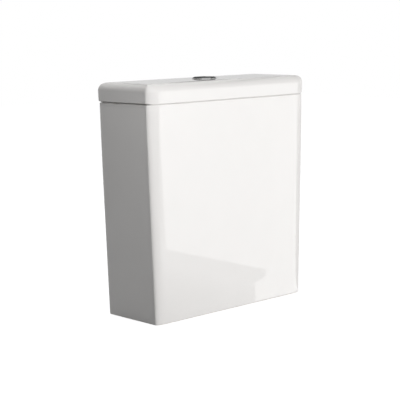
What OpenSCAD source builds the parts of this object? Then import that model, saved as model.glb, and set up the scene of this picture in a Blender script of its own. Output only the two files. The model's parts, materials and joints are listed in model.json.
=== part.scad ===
// Close coupled toilet cistern with a lift-off lid, a two segment push button,
// a dual flush valve and a float operated fill valve.
// Millimetres. Z is up, the front faces -Y, and the tank stands on its bottom edge at z = 0.

/* [Tank] */
// Width of the tank at its top edge
body_w = 365; // [330:1:420]
// How far each side draws in at the bottom edge
side_taper = 10.6; // [0:0.1:14]
// Bow of the sides: 1 is straight, more keeps their upper part nearer to upright
side_bow = 1.2; // [1:0.05:1.5]
// Depth of the tank, front to back
body_d = 126; // [116:1:160]
// Height of the tank, up to its joint with the lid
body_h = 357; // [345:1:420]
// Thickness of the ceramic walls
wall = 10; // [7:0.5:12]
// Run of the two front corners along the front
front_run = 26; // [16:1:40]
// Run of the two front corners along the sides
front_turn = 7.5; // [4:0.5:20]
// Radius of the two back corners
back_r = 8; // [4:0.5:12]
// Radius of the edges along the rim and the foot
edge_r = 2; // [1:0.5:3]
// Radius of the inner corners, and of the turn from the inner walls to the floor
cove_r = 3; // [2:0.5:6]
// Height of the floor's underside above the foot
floor_z = 40; // [38:1:60]
// Thickness of the floor
floor_t = 12; // [8:1:16]

/* [Lid] */
// Height of the lid
lid_h = 33; // [28:1:45]
// How far the lid stands out past the tank on each side
lid_side_over = 2; // [1:0.5:5]
// How far the lid stands out past the front
lid_front_over = 2; // [0.5:0.5:5]
// How far the lid draws in at its lower edge
lid_draw = 1.1; // [0:0.1:2]
// Radius of the lid's top edge
lid_top_r = 14; // [5:0.5:16]
// Radius of the lid's two back corners
lid_back_r = 6; // [4:0.5:12]
// Thickness of the lid's top
lid_t = 10; // [8:0.5:14]
// Drop of the locating nibs below the joint
nib_drop = 6; // [3:0.5:10]
// Play between a nib and the tank's inner wall
nib_play = 2; // [1:0.5:4]
// Thickness of a nib
nib_t = 6; // [4:0.5:10]
// Length of a nib along the wall
nib_len = 32; // [15:1:60]

/* [Push button] */
// Diameter of the chrome flange on the lid
bezel_d = 42; // [41:0.5:60]
// Height of the flange's crown above the lid
bezel_h = 4.6; // [3:0.1:8]
// Thickness of the flange at its outer edge
bezel_edge = 1.2; // [0.6:0.1:2]
// Diameter of the flange's crown
bezel_crown_d = 31.6; // [31:0.1:36]
// Diameter of the barrel that passes through the lid
barrel_d = 36; // [34:0.5:37]
// Length of the barrel below the lid's top
barrel_len = 32; // [30:1:36]
// Diameter of the hole in the lid
lid_hole_d = 38; // [37.5:0.5:40]
// Diameter of the two segments together
button_d = 28.8; // [28:0.1:29]
// Depth of the button's skirt below the lid's top
button_skirt = 8; // [6:0.5:10]
// Height of the dome over the edge of the button
button_dome = 0.7; // [0.2:0.1:2]
// Where the split lies, left of the middle
split_off = 2; // [0:0.5:3]
// Travel of each segment
button_travel = 7; // [4:0.5:7.5]
// Gap all round each segment
button_gap = 0.4; // [0.3:0.05:0.6]
// Diameter of the push rods
rod_d = 4; // [3:0.5:4]
// Distance of each rod from the middle, along the width
rod_x = 8; // [7:0.25:8.5]
// Wire of the return springs
spring_wire = 0.8; // [0.5:0.1:1]
// Turns of the return springs
spring_turns = 6; // [4:1:9]
// Height of the ring nut under the lid
locknut_h = 8; // [5:0.5:10]

/* [Flush valve] */
// Outside diameter of the threaded outlet tail
tail_d = 47.8; // [44:0.1:48.5]
// Wall of the outlet tail
tail_wall = 3.4; // [2.5:0.1:5]
// Height of the tail's open end above the foot
tail_end = 4; // [2:0.5:4.5]
// Length of the plain spigot at the end of the tail
spigot_len = 7; // [4:0.5:7]
// Diameter of the outlet hole in the floor
valve_hole_d = 51; // [50:0.5:56]
// Thickness of the rubber washers on the floor
washer_t = 3; // [2:0.5:5]
// Diameter of the valve's base flange
base_d = 74; // [72:1:90]
// Thickness of the base flange
base_t = 6; // [4:0.5:10]
// Height of the seat above the base flange
seat_h = 11; // [8:0.5:16]
// Thickness of the rubber seal
seal_t = 3; // [2:0.5:4]
// Diameter of the rubber seal
seal_d = 58; // [54:0.5:60]
// Diameter of the slotted cage
cage_d = 68; // [68:0.5:71]
// Wall of the cage
cage_wall = 3; // [2:0.25:3.5]
// Height of the cage above the base flange
cage_h = 139; // [110:1:150]
// Inlet windows round the cage
cage_windows = 6; // [4:1:8]
// Outside diameter of the overflow tube
tube_d = 30; // [26:0.5:31]
// Wall of the overflow tube
tube_wall = 2; // [1.5:0.25:3]
// Height of the lift collar at the top of the tube
collar_h = 12; // [8:1:16]
// Outside diameter of the half flush float
half_float_d = 44; // [42:0.5:45]
// Height of the half flush float
half_float_h = 24; // [18:1:30]
// Room between the half flush float and the lift collar
lift_room = 14; // [12:1:18]
// Distance from the top of the tube to the lever pivots
lever_room = 32; // [29:1:36]
// Lever arm under the push rod
press_arm = 16.5; // [15:0.5:18]
// Lever arm under the hook
lift_arm = 21.5; // [19:0.5:24]
// Thickness of the levers
lever_t = 8; // [6:0.5:9]
// Width of the levers
lever_w = 10.5; // [8:0.5:11]
// Diameter of the lever pins
lever_pin_d = 4; // [3:0.5:5]
// Thickness of the bridge's plates
plate_t = 3; // [2:0.25:4]
// Height of the bridge above the lever pivots
bridge_over = 19; // [17:1:22]
// Height of the outlet back nut
outlet_nut_h = 14; // [10:1:18]
// Diameter of the outlet back nut
outlet_nut_d = 72; // [66:1:74]
// Diameter of the coupling gasket
gasket_d = 92; // [86:1:94]
// Height of the coupling gasket
gasket_h = 28; // [24:1:32]

/* [Fill valve] */
// Distance of the fill valve's axis from the tank's left side
fill_in = 56.5; // [54:0.5:70]
// Outside diameter of the threaded inlet shank
shank_d = 20.96; // [18:0.02:22]
// Bore of the inlet shank
shank_bore = 10; // [8:0.5:12]
// Diameter of the shank's flange
shank_flange_d = 38; // [34:1:44]
// Thickness of the shank's flange
shank_flange_t = 4; // [3:0.5:8]
// Height of the shank's back nut
shank_nut_h = 11; // [8:0.5:14]
// Width of the shank's back nut across its flats
shank_nut_w = 30; // [28:1:34]
// Diameter of the riser inside the column
riser_d = 16; // [14:0.5:18]
// Outside diameter of the column
column_d = 27; // [25:0.5:30]
// Wall of the column
column_wall = 2.5; // [2:0.25:3]
// Height of the column above the shank's flange
column_h = 185; // [170:1:200]
// Diameter of the fill valve's cap
cap_d = 40; // [38:0.5:44]
// Height of the head above the column
head_h = 20; // [18:1:26]
// Diameter of the fill float
float_d = 66; // [58:1:70]
// Height of the fill float
float_h = 55; // [40:1:65]
// Wall of the fill float
float_wall = 2; // [1.5:0.25:3]
// Gap between the head and the float when the tank is empty
float_room = 41; // [30:1:60]
// Lever arm over the pilot nozzle
pilot_arm = 14; // [13:0.5:15]
// Lever arm at the float rod
rod_arm = 24; // [22:0.5:26]
// Swing of the float lever each side of level
float_swing = 12; // [8:0.5:14]
// Diameter of the float lever
float_lever_d = 6; // [5:0.5:7]
// Diameter of the float rod
float_rod_d = 5; // [4:0.5:6]
// Diameter of the float lever's pin
float_pin_d = 4; // [3:0.5:5]

/* [Coupling bolts] */
// Distance between the two coupling bolts
bolt_span = 150; // [140:1:156]
// Diameter of the coupling bolts
bolt_d = 8; // [6:0.5:10]
// Height of the bolt ends above the foot
bolt_end = 3; // [2:0.5:8]
// Diameter of the rubber cone washers
cone_d = 26; // [22:0.5:28]
// Height of the rubber cone washers above the floor
cone_h = 5; // [3:0.5:8]
// Diameter of the bolt heads
bolt_head_d = 17; // [15:0.5:20]
// Height of the bolt heads
bolt_head_h = 5; // [4:0.5:7]

/* [Hidden] */
$fn = 64;
corner_steps = 10;
corner_power = 2.5;
corner_least = 2;
edge_steps = 6;
bow_steps = 6;
cut = 1;
seat_play = 0.05;
run_play = 0.05;
thread_play = 0.2;
washer_play = 0.4;
slide_play = 0.4;
rest_gap = 0.3;
hook_gap = 0.5;

back_y = (body_d + lid_front_over) / 2;
front_y = back_y - body_d;
mid_y = (front_y + back_y) / 2;
floor_top = floor_z + floor_t;
lid_top = body_h + lid_h;
lid_ceiling = lid_top - lid_t;

button_r = button_d / 2;
opening_r = button_r + button_gap;
button_crown = lid_top + bezel_h;
button_top_t = 5.5;
button_under = button_crown - button_top_t;
plate_z = lid_top - barrel_len;
plate_top = plate_z + plate_t;
boss_z = lid_top - button_skirt;
button_washer_t = 2;
washer_lap = 7;

base_z = floor_top + washer_t;
base_top = base_z + base_t;
seat_z = base_top + seat_h;
seal_top = seat_z + seal_t;
tail_r = tail_d / 2;
tail_in = tail_r - tail_wall;
tube_r = tube_d / 2;
cage_r = cage_d / 2;
cage_top = base_top + cage_h;
half_float_top = cage_top + half_float_h;
collar_z = half_float_top + lift_room;
tube_top = collar_z + collar_h;
pivot_z = tube_top + lever_room;
pad_top = pivot_z + lever_t / 2;
bridge_top = pivot_z + bridge_over;
bridge_half = 14;
web_t = 2.8;
web_play = 0.6;
lever_y = web_t / 2 + web_play;
rod_y = lever_y + lever_w / 2;
pivot_x = rod_x - press_arm;
plate_room = 2;
plate_y = half_float_d / 2 + plate_room;
lever_swing = asin(button_travel / press_arm);
hook_z = pad_top + hook_gap;
hook_lug = 4;
hook_t = 3.5;
hook_root = 6;
hook_room = 1;
hook_in = lift_arm - pivot_x + lever_t / 2 + hook_room;
hook_out = hook_in + hook_t;
hook_tip = lift_arm * cos(lever_swing) - pivot_x - lever_t / 2 + hook_room;

fill_x = fill_in - body_w / 2;
fill_z = floor_top + washer_t;
flange_top = fill_z + shank_flange_t;
column_r = column_d / 2;
column_top = flange_top + column_h;
cap_top = column_top + head_h;
sleeve_h = 8;
float_top = column_top - sleeve_h - float_room;
nozzle_h = 2;
pilot_r = 3.5;
pilot_drop = 1;
pilot_close = pilot_arm * sin(float_swing) + pilot_drop * cos(float_swing);
float_pivot_z = cap_top + nozzle_h + rest_gap + pilot_r + pilot_close;
eye_z = float_pivot_z - rod_arm * tan(float_swing);
eye_room = 5;
eye_half = float_lever_d / 2 + eye_room;
eye_t = 4;
riser_over = 8;
riser_top = column_top + riser_over;
diaphragm_t = 2;
head_wall = 3;
cap_wall = 2.5;
float_hub_wall = 2.5;
ear_room = 2;
pin_head = 1.5;

plain_washer_t = 2;
nut_h = 0.8 * bolt_d;
nut_z = floor_z - plain_washer_t - nut_h;
undercut = 0.7;
undercut_len = 2;
undercut_room = 1.5;

// Half width of the tank at a height.
function half_w(z) = body_w / 2 - side_taper * pow(max(1 - z / body_h, 0), side_bow);

// Points of an arc about [x, y], from one angle to another.
function arc(x, y, r, from, to, steps) =
  [for (i = [0:steps]) let (a = from + (to - from) * i / steps) [x + r * cos(a), y + r * sin(a)]];

module at_valve() translate([0, mid_y, 0]) children();
module at_fill() translate([fill_x, mid_y, 0]) children();
module at_bolts() for (side = [-1, 1]) translate([side * bolt_span / 2, mid_y, 0]) children();

// The half flush side of the valve is the full flush side turned half a turn.
module half_side() rotate([0, 0, 180]) children();

module revolve(profile) rotate_extrude() polygon(profile);

module ring(r_out, r_in, z0, z1)
  translate([0, 0, z0]) difference() {
    cylinder(r = r_out, h = z1 - z0);
    translate([0, 0, -cut]) cylinder(r = r_in, h = z1 - z0 + 2 * cut);
  }

// Point at an angle on a curve from round, power 2, towards square.
function bend(a, power) =
  [for (v = [cos(a), sin(a)]) sign(v) * pow(abs(v), 2 / power)];

// Corner whose curve runs w along x and d along y, from one angle over a quarter turn.
function corner(x, y, w, d, power, from) =
  [for (i = [0:corner_steps])
    let (p = bend(from + 90 * i / corner_steps, power)) [x + w * p.x, y + d * p.y]];

// Outline at height z with soft front corners and round back ones.
function outline(half, y0, y1, run, turn, back, z) =
  let (right = concat(
    corner(half - run, y0 + turn, run, turn, corner_power, -90),
    corner(half - back, y1 - back, back, back, 2, 0)))
  concat(
    [for (p = right) [p.x, p.y, z]],
    [for (i = [len(right) - 1:-1:0]) [-right[i].x, right[i].y, z]]);

// Levels of a rounded edge, each a height and how far the outline is drawn in there.
function lower_edge(z, r) =
  [for (i = [0:edge_steps]) let (a = 90 * i / edge_steps) [z + r * (1 - cos(a)), r * (1 - sin(a))]];
function upper_edge(z, r) =
  [for (i = [edge_steps:-1:0]) let (a = 90 * i / edge_steps) [z - r * (1 - cos(a)), r * (1 - sin(a))]];
function wall_levels(z0, z1) =
  [for (i = [1:bow_steps - 1]) [z0 + (z1 - z0) * i / bow_steps, 0]];

// Outline of the tank drawn in by an inset, its corners no tighter than the least radius.
function tank_outline(z, inset) =
  outline(half_w(z) - inset, front_y + inset, back_y - inset,
    max(front_run - inset, corner_least), max(front_turn - inset, corner_least),
    max(back_r - inset, corner_least), z);

// Outline of the room inside the walls, drawn in further by an inset, with plain round corners.
function inner_outline(z, inset) =
  let (in = wall + inset)
  outline(half_w(z) - in, front_y + in, back_y - in, cove_r, cove_r, cove_r, z);

// Outline of the lid: its sides and front lean in towards the joint, its back stands upright.
function lid_outline(z, inset) =
  let (draw = inset + lid_draw * (lid_top - z) / lid_h)
  outline(body_w / 2 + lid_side_over - draw, draw - back_y, back_y - inset,
    max(front_run + lid_side_over - inset, corner_least),
    max(front_turn + lid_front_over - inset, corner_least),
    max(lid_back_r - inset, corner_least), z);

// Solid through outlines of equal count, lowest first.
module loft(outlines) {
  count = len(outlines[0]);
  last = len(outlines) - 1;
  polyhedron(
    [for (o = outlines) each o],
    concat(
      [[for (i = [0:count - 1]) i]],
      [for (k = [0:last - 1], i = [0:count - 1], upper = [0, 1])
        let (a = k * count + i, b = k * count + (i + 1) % count)
        upper == 0 ? [a, a + count, b + count] : [a, b + count, b]],
      [[for (i = [count - 1:-1:0]) last * count + i]]));
}

module tank_shell()
  loft([for (level = concat(lower_edge(0, edge_r), wall_levels(edge_r, body_h - edge_r),
    upper_edge(body_h, edge_r))) tank_outline(level[0], level[1])]);

module tank_cavity()
  loft([for (level = concat(lower_edge(floor_top, cove_r), [[body_h + cut, 0]]))
    inner_outline(level[0], level[1])]);

module tank_recess()
  loft([for (level = concat([[-cut, 0]], upper_edge(floor_z, cove_r)))
    inner_outline(level[0], level[1])]);

module tank() color("white")
  difference() {
    tank_shell();
    tank_cavity();
    tank_recess();
    translate([0, 0, floor_z - cut]) {
      at_valve() cylinder(d = valve_hole_d, h = floor_t + 2 * cut);
      at_fill() cylinder(r = shank_d / 2 + 1, h = floor_t + 2 * cut);
      at_bolts() cylinder(r = bolt_d / 2 + 1, h = floor_t + 2 * cut);
    }
  }

// Locating nib under the lid: it hangs from the inner wall at x = 0 and points towards +x.
module nib() {
  in = nib_play + nib_t;
  bevel = 1.5;
  root = lid_h / 3;
  rotate([90, 0, 0]) linear_extrude(nib_len, center = true) polygon([
    [-cut, body_h + cut], [nib_play, body_h + cut], [nib_play, body_h - nib_drop + bevel],
    [nib_play + bevel, body_h - nib_drop], [in - bevel, body_h - nib_drop],
    [in, body_h - nib_drop + bevel], [in, body_h + root], [-cut, body_h + root]]);
}

module lid_shell()
  loft([for (level = concat(lower_edge(body_h, edge_r), upper_edge(lid_top, lid_top_r)))
    lid_outline(level[0], level[1])]);

module lid_hollow()
  loft([for (level = concat([[body_h - cut, 0]], upper_edge(lid_ceiling, cove_r)))
    inner_outline(level[0], level[1])]);

module lid() color("white") {
  inner = body_w / 2 - wall;
  difference() {
    lid_shell();
    lid_hollow();
    at_valve() translate([0, 0, lid_ceiling - cut]) cylinder(d = lid_hole_d, h = lid_t + 2 * cut);
  }
  for (side = [0, 180]) {
    translate([0, mid_y, 0]) rotate([0, 0, side]) translate([-inner, 0, 0]) nib();
    for (x = [-1, 1]) translate([x * inner / 2, mid_y, 0])
      rotate([0, 0, side + 90]) translate([wall - body_d / 2, 0, 0]) nib();
  }
}

module rod_holes(r, z0, z1)
  for (turn = [0, 180]) rotate([0, 0, turn])
    translate([rod_x, -rod_y, z0 - cut]) cylinder(r = r, h = z1 - z0 + 2 * cut);

module button_bezel() color("silver") at_valve() {
  bevel = 0.4;
  difference() {
    revolve([
      [0, plate_z], [barrel_d / 2, plate_z], [barrel_d / 2, lid_top], [bezel_d / 2, lid_top],
      [bezel_d / 2, lid_top + bezel_edge], [bezel_crown_d / 2, button_crown - bevel],
      [bezel_crown_d / 2 - bevel, button_crown], [opening_r, button_crown],
      [opening_r, plate_top], [0, plate_top]]);
    rod_holes(rod_d / 2 + slide_play, plate_z, plate_top);
  }
}

module button_washer() color("dimgray") at_valve()
  ring(lid_hole_d / 2 + washer_lap, barrel_d / 2 + thread_play, lid_ceiling - button_washer_t, lid_ceiling);

module button_locknut() color("white") at_valve() {
  z1 = lid_ceiling - button_washer_t;
  z0 = z1 - locknut_h;
  ear_r = lid_hole_d / 2 + washer_lap;
  ear_h = 3;
  ear_w = 4;
  ear_wall = 3;
  ear_root = barrel_d / 2 + ear_wall;
  ring(ear_r - ear_h, barrel_d / 2 + thread_play, z0, z1);
  for (turn = [0:60:300]) rotate([0, 0, turn])
    translate([ear_root, -ear_w / 2, z0]) cube([ear_r - ear_root, ear_w, locknut_h]);
}

// Both segments in one piece: domed top, skirt and the bosses for the rods.
module button_pair() {
  dome_r = (button_r * button_r + button_dome * button_dome) / (2 * button_dome);
  skirt_t = 1.6;
  boss_r = rod_d / 2 + skirt_t;
  intersection() {
    translate([0, 0, button_under]) cylinder(r = button_r, h = button_crown + button_dome - button_under);
    translate([0, 0, button_crown + button_dome - dome_r]) sphere(r = dome_r, $fn = 180);
  }
  ring(button_r, button_r - skirt_t, boss_z, button_under);
  difference() {
    for (turn = [0, 180]) rotate([0, 0, turn])
      translate([rod_x, -rod_y, boss_z]) cylinder(r = boss_r, h = button_under - boss_z);
    rod_holes(rod_d / 2 + seat_play, boss_z, button_under - cut);
  }
}

// Half space on one side of the split between the segments.
module split_side(side)
  translate([side > 0 ? -split_off + button_gap / 2 : -split_off - button_gap / 2 - bezel_d,
    -bezel_d / 2, boss_z - cut])
    cube([bezel_d, bezel_d, button_skirt + bezel_h + button_dome + 2 * cut]);

module full_flush_button() color("silver") at_valve()
  intersection() {
    button_pair();
    split_side(1);
  }

module half_flush_button() color("silver") at_valve()
  intersection() {
    button_pair();
    split_side(-1);
  }

// Coil spring as one tube: rings of points along a helix.
module coil(mean_r, wire_r, z0, z1, turns) {
  rings = 8 * turns;
  sides = 6;
  rise = z1 - z0;
  function ring_point(i, j) =
    let (a = 360 * i / 8, b = 360 * j / sides, r = mean_r + wire_r * cos(b))
    [r * cos(a), r * sin(a), z0 + rise * i / rings + wire_r * sin(b)];
  points = [for (i = [0:rings]) for (j = [0:sides - 1]) ring_point(i, j)];
  walls = [for (i = [0:rings - 1]) for (j = [0:sides - 1]) for (half = [0, 1])
    let (a = i * sides + j, b = i * sides + (j + 1) % sides)
    half == 0 ? [a, b, a + sides] : [b, b + sides, a + sides]];
  ends = [[for (j = [sides - 1:-1:0]) j], [for (j = [0:sides - 1]) rings * sides + j]];
  echo(str("least gap between curls: ", rise / turns - 2 * wire_r));
  polyhedron(points, concat(walls, ends), convexity = 10);
}

module button_spring() {
  wire_r = spring_wire / 2;
  coil_play = 0.5;
  translate([rod_x, -rod_y, 0])
    coil(rod_d / 2 + coil_play + wire_r, wire_r, plate_top + wire_r + seat_play,
      boss_z - wire_r - seat_play, spring_turns);
}

module full_button_spring() color("lightgray") at_valve() button_spring();
module half_button_spring() color("lightgray") at_valve() half_side() button_spring();

module push_rod() {
  tip_z = pad_top + rest_gap + rod_d / 2;
  translate([rod_x, -rod_y, tip_z]) {
    sphere(d = rod_d);
    cylinder(d = rod_d, h = button_under - tip_z);
  }
}

module full_push_rod() color("white") at_valve() push_rod();
module half_push_rod() color("white") at_valve() half_side() push_rod();

module valve_base() color("whitesmoke") at_valve() {
  seat_w = 5;
  seat_out = tail_in + seat_w;
  lip = 1.2;
  bevel = 2;
  rim = 1;
  rib_w = 2;
  rib_len = 3;
  spigot_top = tail_end + spigot_len;
  revolve([
    [tail_in, tail_end], [tail_r - rim, tail_end], [tail_r - rim, spigot_top],
    [tail_r, spigot_top + rim], [tail_r, base_z], [base_d / 2, base_z],
    [base_d / 2, base_top - rim], [base_d / 2 - rim, base_top], [seat_out, base_top],
    [seat_out, seat_z - bevel], [tail_in + bevel + lip, seat_z], [tail_in + bevel, seat_z],
    [tail_in, seat_z - bevel]]);
  for (turn = [30:60:330]) rotate([0, 0, turn])
    translate([seat_out - cut, -rib_w / 2, base_top]) cube([rib_len, rib_w, seat_h / 2]);
}

module valve_base_washer() color("dimgray") at_valve() {
  inset = 1.5;
  ring(base_d / 2 - inset, tail_r + washer_play, floor_top, base_z);
}

module outlet_backnut() color("whitesmoke") at_valve() {
  z0 = floor_z - outlet_nut_h;
  grip_r = 4;
  grip_h = 3;
  difference() {
    union() {
      translate([0, 0, z0]) cylinder(r = outlet_nut_d / 2 - grip_h, h = outlet_nut_h);
      for (turn = [0:45:315]) rotate([0, 0, turn])
        translate([outlet_nut_d / 2 - grip_r, 0, z0]) cylinder(r = grip_r, h = outlet_nut_h);
    }
    translate([0, 0, z0 - cut]) cylinder(r = tail_r + thread_play, h = outlet_nut_h + 2 * cut);
  }
}

module coupling_gasket() color("dimgray") at_valve() {
  z0 = floor_z - gasket_h;
  nut_z = floor_z - outlet_nut_h;
  r = gasket_d / 2;
  round_r = 8;
  bevel = 3;
  bore_r = tail_r + washer_play;
  pocket_play = 1.5;
  pocket_r = outlet_nut_d / 2 + pocket_play;
  revolve(concat(
    [[bore_r, z0 + bevel], [bore_r + bevel, z0]],
    arc(r - round_r, z0 + round_r, round_r, -90, 0, edge_steps),
    [[r, floor_z - bevel], [r - bevel, floor_z], [pocket_r, floor_z], [pocket_r, nut_z], [bore_r, nut_z]]));
}

module window(w, z0, z1)
  translate([0, 0, z0]) rotate([90, 0, 90]) {
    translate([-w / 2, 0, 0]) cube([w, z1 - z0 - w / 2, cage_d]);
    translate([0, z1 - z0 - w / 2, 0]) cylinder(d = w, h = cage_d);
  }

module valve_cage() color("whitesmoke") at_valve() {
  guide_r = tube_r + slide_play;
  guide_t = 2;
  guide_h = 16;
  top_t = 4;
  rib_w = 10;
  sill = 6;
  band = 14;
  window_w = 2 * (cage_r - cage_wall) * sin(180 / cage_windows) - rib_w;
  window_top = base_top + 0.4 * cage_h;
  difference() {
    union() {
      ring(cage_r, cage_r - cage_wall, base_top, cage_top);
      ring(cage_r, guide_r, cage_top - top_t, cage_top);
      ring(guide_r + guide_t, guide_r, cage_top - guide_h, cage_top);
    }
    for (i = [0:cage_windows - 1]) rotate([0, 0, 360 * i / cage_windows])
      translate([guide_r + guide_t + cut, 0, 0]) {
        window(window_w, base_top + sill, window_top);
        window(window_w / 2, window_top + band, cage_top - band);
      }
  }
}

// Side outline carried across the width of a lever, on the full flush side.
module lever_slice(w) translate([0, -lever_y, 0]) rotate([90, 0, 0]) linear_extrude(w) children();

module valve_bridge() color("gainsboro") at_valve() {
  foot = 3;
  slot_w = 12;
  web_drop = 6;
  rod_room = 1;
  difference() {
    union() {
      for (turn = [0, 180]) rotate([0, 0, turn]) {
        translate([-bridge_half, plate_y, cage_top])
          cube([2 * bridge_half, plate_t, bridge_top - cage_top]);
        translate([-bridge_half, plate_y, cage_top]) cube([2 * bridge_half, plate_t + foot, foot]);
      }
      translate([-bridge_half, -plate_y - plate_t, bridge_top - plate_t])
        cube([2 * bridge_half, 2 * (plate_y + plate_t), plate_t]);
      translate([-bridge_half, -web_t / 2, pivot_z - web_drop])
        cube([2 * bridge_half, web_t, bridge_top - pivot_z + web_drop]);
    }
    rod_holes(rod_d / 2 + rod_room, bridge_top - plate_t, bridge_top);
    for (turn = [0, 180]) rotate([0, 0, turn]) translate([pivot_x, web_t, pivot_z]) rotate([90, 0, 0])
      cylinder(r = lever_pin_d / 2 + seat_play, h = plate_y + plate_t + web_t + cut);
    rotate([90, 0, 0]) translate([0, 0, -plate_y - plate_t - cut])
      linear_extrude(2 * (plate_y + plate_t + cut)) {
        translate([-slot_w / 2, cage_top + 2 * slot_w]) square([slot_w, pivot_z - cage_top - 4 * slot_w]);
        for (z = [cage_top + 2 * slot_w, pivot_z - 2 * slot_w]) translate([0, z]) circle(d = slot_w);
      }
  }
}

// Rocking lever: the rod presses one arm and the other lifts the hook.
module flush_lever() {
  hub_wall = 3;
  pad_over = 2;
  hub_r = lever_pin_d / 2 + hub_wall;
  reach = rod_x + rod_d / 2 + pad_over;
  difference() {
    union() {
      lever_slice(lever_w) {
        translate([pivot_x - lift_arm, pivot_z - lever_t / 2])
          square([lift_arm - pivot_x + reach, lever_t]);
        translate([pivot_x - lift_arm, pivot_z]) circle(d = lever_t);
        translate([reach, pivot_z]) circle(d = lever_t);
      }
      lever_slice(plate_y - lever_y - web_play) translate([pivot_x, pivot_z]) circle(r = hub_r);
    }
    translate([pivot_x, cut, pivot_z]) rotate([90, 0, 0])
      cylinder(r = lever_pin_d / 2 + run_play, h = plate_y + 2 * cut);
  }
}

module full_flush_lever() color("royalblue") at_valve() flush_lever();
module half_flush_lever() color("lightskyblue") at_valve() half_side() flush_lever();

module lever_pins() color("silver") at_valve()
  for (turn = [0, 180]) rotate([0, 0, turn]) translate([pivot_x, web_t / 2, pivot_z]) rotate([90, 0, 0]) {
    cylinder(d = lever_pin_d, h = web_t / 2 + plate_y + plate_t);
    translate([0, 0, web_t / 2 + plate_y + plate_t]) cylinder(d = lever_pin_d + 2 * pin_head, h = pin_head);
  }

module overflow_tube() color("white") at_valve() {
  spigot = 8;
  flange_w = 6;
  flange_t = 2;
  rim = 1;
  revolve([
    [tube_r - tube_wall, seat_z - spigot], [tube_r, seat_z - spigot], [tube_r, seal_top],
    [tube_r + flange_w, seal_top], [tube_r + flange_w, seal_top + flange_t],
    [tube_r + flange_t, seal_top + flange_w], [tube_r, seal_top + flange_w], [tube_r, tube_top - rim],
    [tube_r - rim, tube_top], [tube_r - tube_wall, tube_top]]);
}

// Hook that stands up beside a lever and reaches over its finger, on the full flush side.
module hook(from_r, z0, z1)
  lever_slice(lever_w) polygon([
    [-from_r, z0], [-hook_out, z0], [-hook_out, hook_z + hook_lug], [-hook_tip, hook_z + hook_lug],
    [-hook_tip, hook_z], [-hook_in, hook_z], [-hook_in, z1], [-from_r, z1]]);

module lift_collar() color("royalblue") at_valve() {
  collar_wall = 4;
  difference() {
    union() {
      translate([0, 0, collar_z]) cylinder(r = tube_r + collar_wall, h = collar_h);
      hook(tube_r - tube_wall, tube_top - hook_root, tube_top);
    }
    translate([0, 0, collar_z - cut]) cylinder(r = tube_r + seat_play, h = collar_h + 2 * cut);
  }
}

module flush_seal() color("firebrick") at_valve()
  ring(seal_d / 2, tube_r + seat_play, seat_z, seal_top);

module seal_retainer() color("white") at_valve() {
  bore_r = tube_r + seat_play;
  rim_play = 1;
  rim_r = tail_in - rim_play;
  hub_t = 2;
  hub_h = 6;
  rim_h = 3;
  revolve([
    [bore_r, seat_z - hub_h], [bore_r + hub_t, seat_z - hub_h], [rim_r, seat_z - rim_h],
    [rim_r, seat_z], [bore_r, seat_z]]);
}

module half_flush_float() color("lightskyblue") at_valve() {
  r = half_float_d / 2;
  bevel = 2;
  difference() {
    union() {
      revolve([
        [tube_r, cage_top], [r - bevel, cage_top], [r, cage_top + bevel], [r, half_float_top - bevel],
        [r - bevel, half_float_top], [tube_r, half_float_top]]);
      half_side() hook(tube_r, half_float_top - hook_root, half_float_top);
    }
    translate([0, 0, cage_top - cut]) cylinder(r = tube_r + slide_play, h = half_float_h + 2 * cut);
  }
}

module fill_shank() color("whitesmoke") at_fill() {
  bevel = 1;
  nose = 2;
  neck_z = floor_z - shank_nut_h - undercut_room;
  neck_r = shank_d / 2 - undercut;
  revolve([
    [shank_bore / 2, tail_end], [shank_d / 2 - bevel, tail_end], [shank_d / 2, tail_end + bevel],
    [shank_d / 2, neck_z - undercut_len], [neck_r, neck_z - undercut_len], [neck_r, neck_z],
    [shank_d / 2, neck_z], [shank_d / 2, fill_z], [shank_flange_d / 2, fill_z],
    [shank_flange_d / 2, flange_top], [riser_d / 2, flange_top], [riser_d / 2, riser_top - nose],
    [shank_bore / 2 + bevel, riser_top], [shank_bore / 2, riser_top]]);
}

module fill_shank_washer() color("dimgray") at_fill() {
  inset = 1;
  ring(shank_flange_d / 2 - inset, shank_d / 2 + washer_play, floor_top, fill_z);
}

module fill_backnut() color("whitesmoke") at_fill() {
  rim_h = 3;
  rim_over = 3;
  difference() {
    union() {
      translate([0, 0, floor_z - shank_nut_h])
        cylinder(d = shank_nut_w / cos(30), h = shank_nut_h, $fn = 6);
      translate([0, 0, floor_z - rim_h]) cylinder(r = shank_nut_w / 2 + rim_over, h = rim_h);
    }
    translate([0, 0, floor_z - shank_nut_h - cut])
      cylinder(r = shank_d / 2 + thread_play, h = shank_nut_h + 2 * cut);
  }
}

// Strainer: a cup with its open end down and three rows of slots.
module inlet_filter() color("gainsboro") at_fill() {
  r = shank_bore / 2 - seat_play;
  wall_t = 1.2;
  len = 24;
  slot_w = 2;
  slot_h = 3;
  pitch = 5;
  translate([0, 0, tail_end + cut]) difference() {
    cylinder(r = r, h = len);
    translate([0, 0, -cut]) cylinder(r = r - wall_t, h = len + cut - wall_t);
    for (turn = [0, 90]) rotate([0, 0, turn]) for (row = [1:3])
      translate([-shank_bore, -slot_w / 2, row * pitch]) cube([2 * shank_bore, slot_w, slot_h]);
  }
}

module fill_column() color("white") at_fill() {
  slot_w = 5;
  slot_h = 22;
  sill = 4;
  difference() {
    ring(column_r, column_r - column_wall, flange_top, column_top);
    for (turn = [0:60:120]) rotate([0, 0, turn])
      translate([-column_d, -slot_w / 2, flange_top + sill]) cube([2 * column_d, slot_w, slot_h]);
  }
}

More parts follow.
